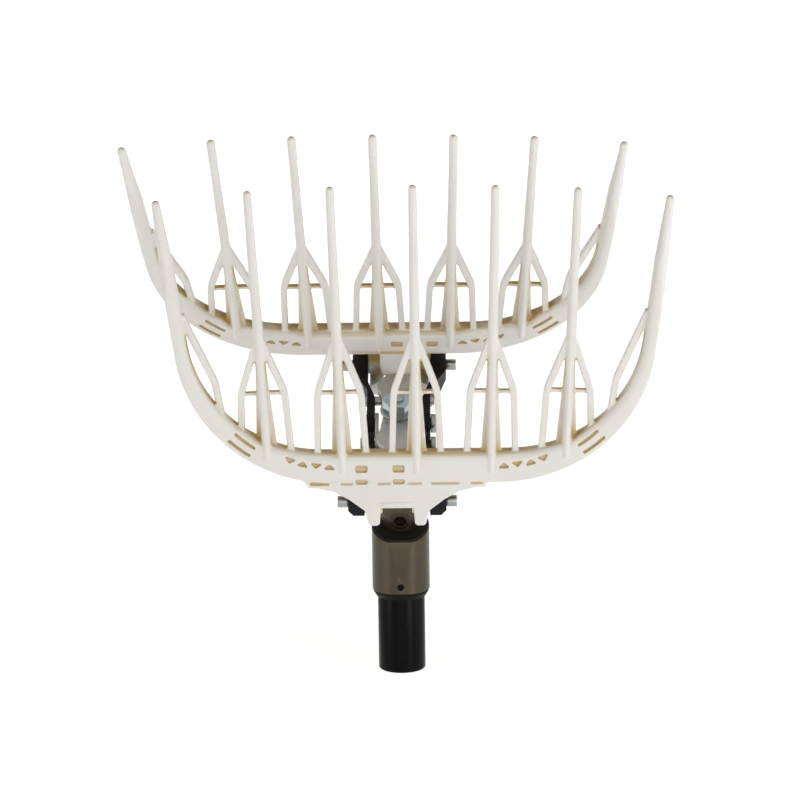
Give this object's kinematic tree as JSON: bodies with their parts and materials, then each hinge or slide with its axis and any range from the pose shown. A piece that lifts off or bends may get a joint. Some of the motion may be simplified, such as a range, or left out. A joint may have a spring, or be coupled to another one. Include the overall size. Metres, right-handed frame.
{
  "type": "olive harvester head",
  "caption": "Pneumatic olive harvester head: opposed ivory combs on black arms clap together, driven by a piston and a slotted yoke above a bronze body that fits on a pole.",
  "frame": {"origin": "centre of the tube that goes into the pole, where its straight wall begins above the chamfered lower end", "axes": "+Z along the pole, up towards the combs; -Y is the side the combs lean to; +X to the right seen from that side"},
  "size_m": [0.3326, 0.1892, 0.3555],
  "materials": {
    "ivory_nylon": "moulded, satin",
    "black_arm": "black, satin",
    "bronze": "bronze anodised, satin",
    "black_tube": "black anodised, satin",
    "black_plastic": "satin",
    "steel": "satin",
    "zinc": "zinc plated",
    "chrome": "bright",
    "grey_metal": "machined",
    "brass": "machined",
    "seal": "matt"
  },
  "bodies": {
    "head": {"pole_tube": "black_tube", "tube_ring": "black_plastic", "air_nipple": "brass", "pole_body": "bronze", "set_screw": "steel", "shoulder_seal": "seal", "valve_block": "bronze", "valve_front_plug": "bronze", "valve_rear_plug": "bronze", "cylinder_barrel": "grey_metal", "barrel_seal": "seal", "cylinder_head": "grey_metal", "rod_bush": "brass", "rod_seal": "seal", "right_side_plate": "steel", "left_side_plate": "steel", "side_plate_screws": "zinc", "front_pivot_bolts": "zinc", "back_pivot_bolts": "zinc"},
    "piston_set": {"piston": "grey_metal", "piston_seal": "seal", "piston_nut": "steel", "piston_rod": "chrome", "yoke": "steel", "yoke_washer": "zinc", "rod_nut": "chrome"},
    "front_comb_set": {"front_right_arm": "black_arm", "front_left_arm": "black_arm", "front_arm_bushes": "brass", "front_drive_pin": "steel", "front_drive_rings": "steel", "front_comb": "ivory_nylon", "front_comb_screws": "zinc", "front_comb_inserts": "brass"},
    "back_comb_set": {"back_right_arm": "black_arm", "back_left_arm": "black_arm", "back_arm_bushes": "brass", "back_drive_pin": "steel", "back_drive_rings": "steel", "back_comb": "ivory_nylon", "back_comb_screws": "zinc", "back_comb_inserts": "brass"},
    "spool_set": {"valve_spool": "steel", "spool_seals": "seal"}
  },
  "joints": [
    {"name": "piston_stroke", "type": "slide", "parent": "head", "child": "piston_set", "axis": [0, -0.4067, 0.9135], "range_m": [-0.00728, 0.00216]},
    {"name": "front_comb_swing", "type": "hinge", "parent": "head", "child": "front_comb_set", "pos_m": [0, -0.03271, 0.15194], "axis": [1, 0, 0], "range_deg": [-6.1, 20.2]},
    {"name": "back_comb_swing", "type": "hinge", "parent": "head", "child": "back_comb_set", "pos_m": [0, -0.01079, 0.16171], "axis": [1, 0, 0], "range_deg": [-20.2, 6.1]},
    {"name": "valve_shift", "type": "slide", "parent": "head", "child": "spool_set", "axis": [0, 0.9135, 0.4067], "range_m": [-0.0026, 0.0026]}
  ],
  "couplings": [
    {"joint": "front_comb_swing", "follows": "piston_stroke", "rad_per_m": -48.03},
    {"joint": "back_comb_swing", "follows": "piston_stroke", "rad_per_m": 48.03}
  ]
}
